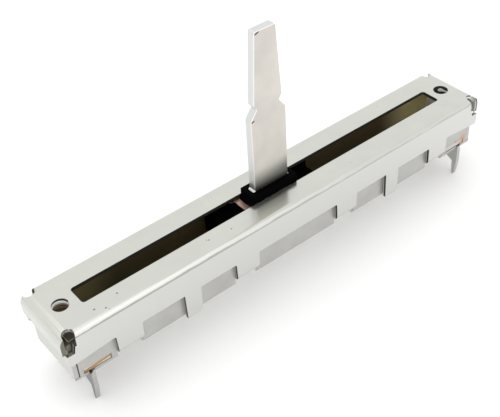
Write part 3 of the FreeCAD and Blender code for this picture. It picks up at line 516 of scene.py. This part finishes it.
def leverSteel():
    # satin steel with a painted highlight on the edges, painted shade towards the foot and two dark nicks
    f = Finish("leverSteel")
    x, y, z = f.place()
    nx, ny, nz = f.facing()
    grain = f.noise(*lever["grain"], f.stretched(*lever["grainStretch"]))
    clouds = f.noise(*lever["clouds"])
    colour = f.mix(f.fade(clouds, *cloudFade), lever["colour"], lever["cloud"])
    # painted shade towards the foot, ragged and leaning
    leaning = f.math("MULTIPLY_ADD", x, -lever["footLean"], z)
    shaded = f.math("MULTIPLY_ADD", clouds, lever["footRagged"], leaning)
    colour = f.mix(f.fade(shaded, *lever["footFades"], True), colour, lever["foot"])
    # painted highlight on the broken edges
    colour = f.mix(f.below(f.size(ny), lever["flatFacing"]), colour, lever["brokenEdge"])
    colour = f.mix(f.below(f.size(ny), lever["cutFacing"]), colour, lever["cutEdge"])
    for dentX, dentZ, halfLength in lever["dents"]:
        along = f.minus(x, dentX * mm)
        up = f.minus(f.minus(z, dentZ * mm), f.times(along, lever["dentSlope"]))
        shares = (f.math("DIVIDE", along, halfLength * mm), f.math("DIVIDE", up, lever["dentHalfHeight"]))
        dent = f.times(f.below(f.distance(*shares), 1.0), f.below(ny, -lever["flatFacing"]))
        colour = f.mix(dent, colour, lever["dent"])
    f.bump(grain, lever["bump"])
    return f.finish(colour, f.fade(grain, *lever["roughness"]), lever["metal"])


dress(["lever"], leverSteel())


carriage = {
    "dark": (0.0008, 0.0008, 0.0008),
    "light": (0.0018, 0.0018, 0.002),
    "grain": (1800, 3),
    "bump": 0.15,
    "roughness": (0.6, 0.75),
    "shine": 0.015,  # kept low, so that the black stays deep
}


def blackMoulding():
    f = Finish("blackMoulding")
    grain = f.noise(*carriage["grain"])
    f.bump(grain, carriage["bump"])
    colour = f.mix(grain, carriage["dark"], carriage["light"])
    rough = f.fade(grain, *carriage["roughness"])
    return f.finish(colour, rough, **{"Specular IOR Level": carriage["shine"]})


moulding = blackMoulding()
dress(["carriage"], moulding)

rim = {
    "low": 15.8 * mm,
    "high": 16.5 * mm,
    "middle": -0.9 * mm,
    "outer": (8.7 * mm, 3.2 * mm),  # length and width
    "inner": (7.24 * mm, 1.44 * mm),  # the lever's foot with a little clearance
    "corner": 0.25 * mm,
    "innerCorner": 0.05 * mm,
    "chamfer": 0.1 * mm,
    "arcSteps": 4,
}


def rounded(length, width, corner, height):
    # one ring of points round a rectangle with rounded corners
    points = []
    for quarter, (sideX, sideY) in enumerate([(1, 1), (-1, 1), (-1, -1), (1, -1)]):
        centreX = rim["middle"] + sideX * (length / 2 - corner)
        centreY = sideY * (width / 2 - corner)
        for step in range(rim["arcSteps"] + 1):
            angle = math.pi / 2 * (quarter + step / rim["arcSteps"])
            points.append((centreX + corner * math.cos(angle), centreY + corner * math.sin(angle), height))
    return points


def makeRim():
    # the raised rim of the boss, which closes round the foot of the lever
    low, high, chamfer, corner = rim["low"], rim["high"], rim["chamfer"], rim["corner"]
    length, width = rim["outer"]
    rings = [
        rounded(length, width, corner, low),
        rounded(length, width, corner, high - chamfer),
        rounded(length - 2 * chamfer, width - 2 * chamfer, corner - chamfer / 2, high),
        rounded(*rim["inner"], rim["innerCorner"], high),
        rounded(*rim["inner"], rim["innerCorner"], low),
    ]
    count = len(rings[0])
    points = [point for ring in rings for point in ring]
    faces = []
    for ring in range(len(rings)):
        start, following = ring * count, (ring + 1) % len(rings) * count
        for step in range(count):
            after = (step + 1) % count
            faces.append((start + step, start + after, following + after, following + step))
    mesh = bpy.data.meshes.new("bossRim")
    mesh.from_pydata(points, [], faces)
    mesh.materials.append(moulding)
    piece = bpy.data.objects.new("bossRim", mesh)
    bpy.context.scene.collection.objects.link(piece)
    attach(piece, "slider")


makeRim()
print("lever and carriage dressed")

springs = {
    # two tones and the roughness
    "leaf": ((0.70, 0.47, 0.36), (0.46, 0.29, 0.22), (0.3, 0.5)),
    "wiper": ((0.60, 0.38, 0.18), (0.42, 0.26, 0.12), (0.25, 0.45)),
    "eyelet": ((0.66, 0.55, 0.32), (0.50, 0.42, 0.25), (0.25, 0.45)),
    "clouds": (900, 4),
    "bump": 0.15,
    "metal": 0.92,
}


def thinMetal(name, look):
    # thin sheet or rolled metal, slightly cloudy
    light, dark, roughness = look
    f = Finish(name)
    clouds = f.noise(*springs["clouds"])
    f.bump(clouds, springs["bump"])
    return f.finish(f.mix(clouds, light, dark), f.fade(clouds, *roughness), springs["metal"])


dress(["drag_spring"], thinMetal("leafBronze", springs["leaf"]))
dress(["wiper_contact"], thinMetal("wiperBronze", springs["wiper"]))
dress(["terminal_eyelets"], thinMetal("eyeletBrass", springs["eyelet"]))

terminal = {
    "light": (0.53, 0.53, 0.51),
    "dark": (0.44, 0.44, 0.425),
    # painted shade on the flat sides, deeper at the left end
    "flat": ((0.24, 0.24, 0.235), (0.46, 0.46, 0.45)),  # at the left end and at the right one
    "edgeFacing": 0.7,
    "roughness": (0.25, 0.42),
    "metal": 0.9,
    "clouds": (700, 4),
    "bump": 0.2,
}


def tinnedBrass():
    # painted shade on the flat sides, deeper at the left end, so the sheared edges look brighter
    f = Finish("tinnedBrass")
    x, y, z = f.place()
    nx, ny, nz = f.facing()
    clouds = f.noise(*terminal["clouds"])
    colour = f.mix(clouds, terminal["light"], terminal["dark"])
    # painted shade on the flat sides
    flat = f.mix(f.above(x, 0.0), *terminal["flat"])
    colour = f.mix(f.above(f.size(nx), terminal["edgeFacing"]), colour, flat)
    f.bump(clouds, terminal["bump"])
    return f.finish(colour, f.fade(clouds, *terminal["roughness"]), terminal["metal"])


terminals = ["terminal_near_left", "terminal_far_left", "terminal_near_right", "terminal_far_right"]
dress(terminals, tinnedBrass())

board = {
    "edge": (0.50, 0.27, 0.09),
    "edgeDark": (0.24, 0.11, 0.03),
    "fibre": (0.66, 0.44, 0.20),
    "pale": (0.72, 0.69, 0.64),
    "dulled": (0.60, 0.57, 0.53),
    "flux": (0.66, 0.40, 0.24),
    "face": (0.30, 0.26, 0.18),
    "roughness": (0.45, 0.62),
    "layers": (1500, 3, 0.5),
    "layerStretch": (0.2, 0.2, 4.0),
    "layerFade": (0.0, 1.0, 0.35, 0.6),
    "fibres": (2600, 2),
    "fibreShare": (0.0, 0.3),
    "bump": 0.2,
    "streak": (-38.5 * mm, 6.58 * mm, 0.085),  # start along X, its height there, and its rise
    "streakFades": (0.0, 1.0, 0.27 * mm, 0.432 * mm),
    "streakRagged": 0.14 * mm,
    "rightEnd": 30 * mm,  # beyond this the edge is dulled, and further on stained
    "fluxFades": (0.0, 0.7, 37.2 * mm, 38.0 * mm),
}


def phenolicPaper():
    # layered brown edge with pale fibres, darker face
    f = Finish("phenolicPaper")
    x, y, z = f.place()
    nx, ny, nz = f.facing()
    layers = f.noise(*board["layers"], f.stretched(*board["layerStretch"]))
    fibres = f.noise(*board["fibres"])
    colour = f.mix(f.fade(layers, *board["layerFade"]), board["edge"], board["edgeDark"])
    colour = f.mix(f.fade(fibres, *board["fibreShare"]), colour, board["fibre"])
    startX, startZ, rise = board["streak"]
    middle = f.math("MULTIPLY_ADD", f.minus(x, startX), rise, startZ)
    offMiddle = f.math("MULTIPLY_ADD", fibres, board["streakRagged"], f.size(f.minus(z, middle)))
    colour = f.mix(f.fade(offMiddle, *board["streakFades"]), colour, board["pale"])
    rightTone = f.mix(f.fade(x, *board["fluxFades"], True), board["dulled"], board["flux"])
    colour = f.mix(f.above(x, board["rightEnd"]), colour, rightTone)
    colour = f.mix(f.above(f.size(nz), halfTurned), colour, board["face"])
    f.bump(fibres, board["bump"])
    return f.finish(colour, f.fade(fibres, *board["roughness"]))


inks = {
    # two tones, then roughness and share of metal
    "sheet": ((0.16, 0.13, 0.07), (0.11, 0.09, 0.05), (0.5, 0.65), 0.0),
    "carbon": ((0.01, 0.01, 0.01), (0.02, 0.02, 0.02), (0.5, 0.65), 0.0),
    "silver": ((0.40, 0.39, 0.36), (0.30, 0.29, 0.26), (0.4, 0.55), 0.7),
    "grain": (2400, 3),
    "bump": 0.2,
    "depth": 0.005 * mm,
}


def printedInk(name, look):
    # thin printed layers and the sheet under the board
    firstTone, secondTone, roughness, metal = look
    f = Finish(name)
    grain = f.noise(*inks["grain"])
    f.bump(grain, inks["bump"], inks["depth"])
    return f.finish(f.mix(grain, firstTone, secondTone), f.fade(grain, *roughness), metal)


dress(["resistor_board"], phenolicPaper())
dress(["insulator_strip"], printedInk("insulatingSheet", inks["sheet"]))
dress(["resistive_track"], printedInk("carbonInk", inks["carbon"]))
silvered = ["collector_track", "track_electrode_left", "track_electrode_right"]
dress(silvered, printedInk("silverInk", inks["silver"]))
print("inner pieces dressed")


studio = {
    "floorSize": 3.0,
    "floor": ((0.985, 0.985, 0.985), (0.975, 0.975, 0.975)),
    "floorNoise": (40, 2),
    "floorRoughness": 0.9,
    "sky": (1.0, 1.0, 1.0),
    "skyStrength": 1.10,
    "aim": (0, 0, 10 * mm),
    "lamps": [
        {"name": "bendLamp", "toward": (0.18, -0.70, 0.69), "distance": 0.5, "size": 0.2, "power": 0.04},
        {"name": "overheadLamp", "toward": (-0.2, 0.3, 1.0), "distance": 0.6, "size": 0.5, "power": 0.5},
    ],
}


def makeFloor():
    half = studio["floorSize"] / 2
    corners = [(-half, -half, 0), (half, -half, 0), (half, half, 0), (-half, half, 0)]
    mesh = bpy.data.meshes.new("floor")
    mesh.from_pydata(corners, [], [(0, 1, 2, 3)])
    floor = bpy.data.objects.new("floor", mesh)
    bpy.context.scene.collection.objects.link(floor)
    f = Finish("paleFloor")
    tone = f.mix(f.noise(*studio["floorNoise"]), *studio["floor"])
    mesh.materials.append(f.finish(tone, studio["floorRoughness"]))


def makeLamps():
    aim = Vector(studio["aim"])
    for lamp in studio["lamps"]:
        light = bpy.data.lights.new(lamp["name"], "AREA")
        light.shape = "DISK"
        light.size = lamp["size"]
        light.energy = lamp["power"]
        holder = bpy.data.objects.new(lamp["name"], light)
        away = Vector(lamp["toward"]).normalized()
        holder.location = aim + away * lamp["distance"]
        holder.rotation_euler = away.to_track_quat("Z", "Y").to_euler()
        bpy.context.scene.collection.objects.link(holder)


def makeSky():
    world = bpy.data.worlds.new("studioSky")
    world.use_nodes = True
    sky = world.node_tree.nodes["Background"]
    sky.inputs[0].default_value = (*studio["sky"], 1.0)
    sky.inputs[1].default_value = studio["skyStrength"]
    bpy.context.scene.world = world


camera = {
    "place": (-68.47 * mm, -85.10 * mm, 104.45 * mm),
    "angles": (49.267, 2.880, -39.284),  # degrees about X, Y and Z
    "lens": 66.17,
    "sensor": 36.0,
    "clip": (1 * mm, 10.0),
}


def makeCamera():
    lens = bpy.data.cameras.new("camera")
    lens.lens = camera["lens"]
    lens.sensor_width = camera["sensor"]
    lens.clip_start, lens.clip_end = camera["clip"]
    holder = bpy.data.objects.new("camera", lens)
    holder.location = camera["place"]
    holder.rotation_euler = Euler([math.radians(angle) for angle in camera["angles"]])
    bpy.context.scene.collection.objects.link(holder)
    bpy.context.scene.camera = holder
    bpy.context.scene.view_settings.view_transform = "Standard"  # keeps the white floor white


makeFloor()
makeLamps()
makeSky()
makeCamera()
print("stage ready")
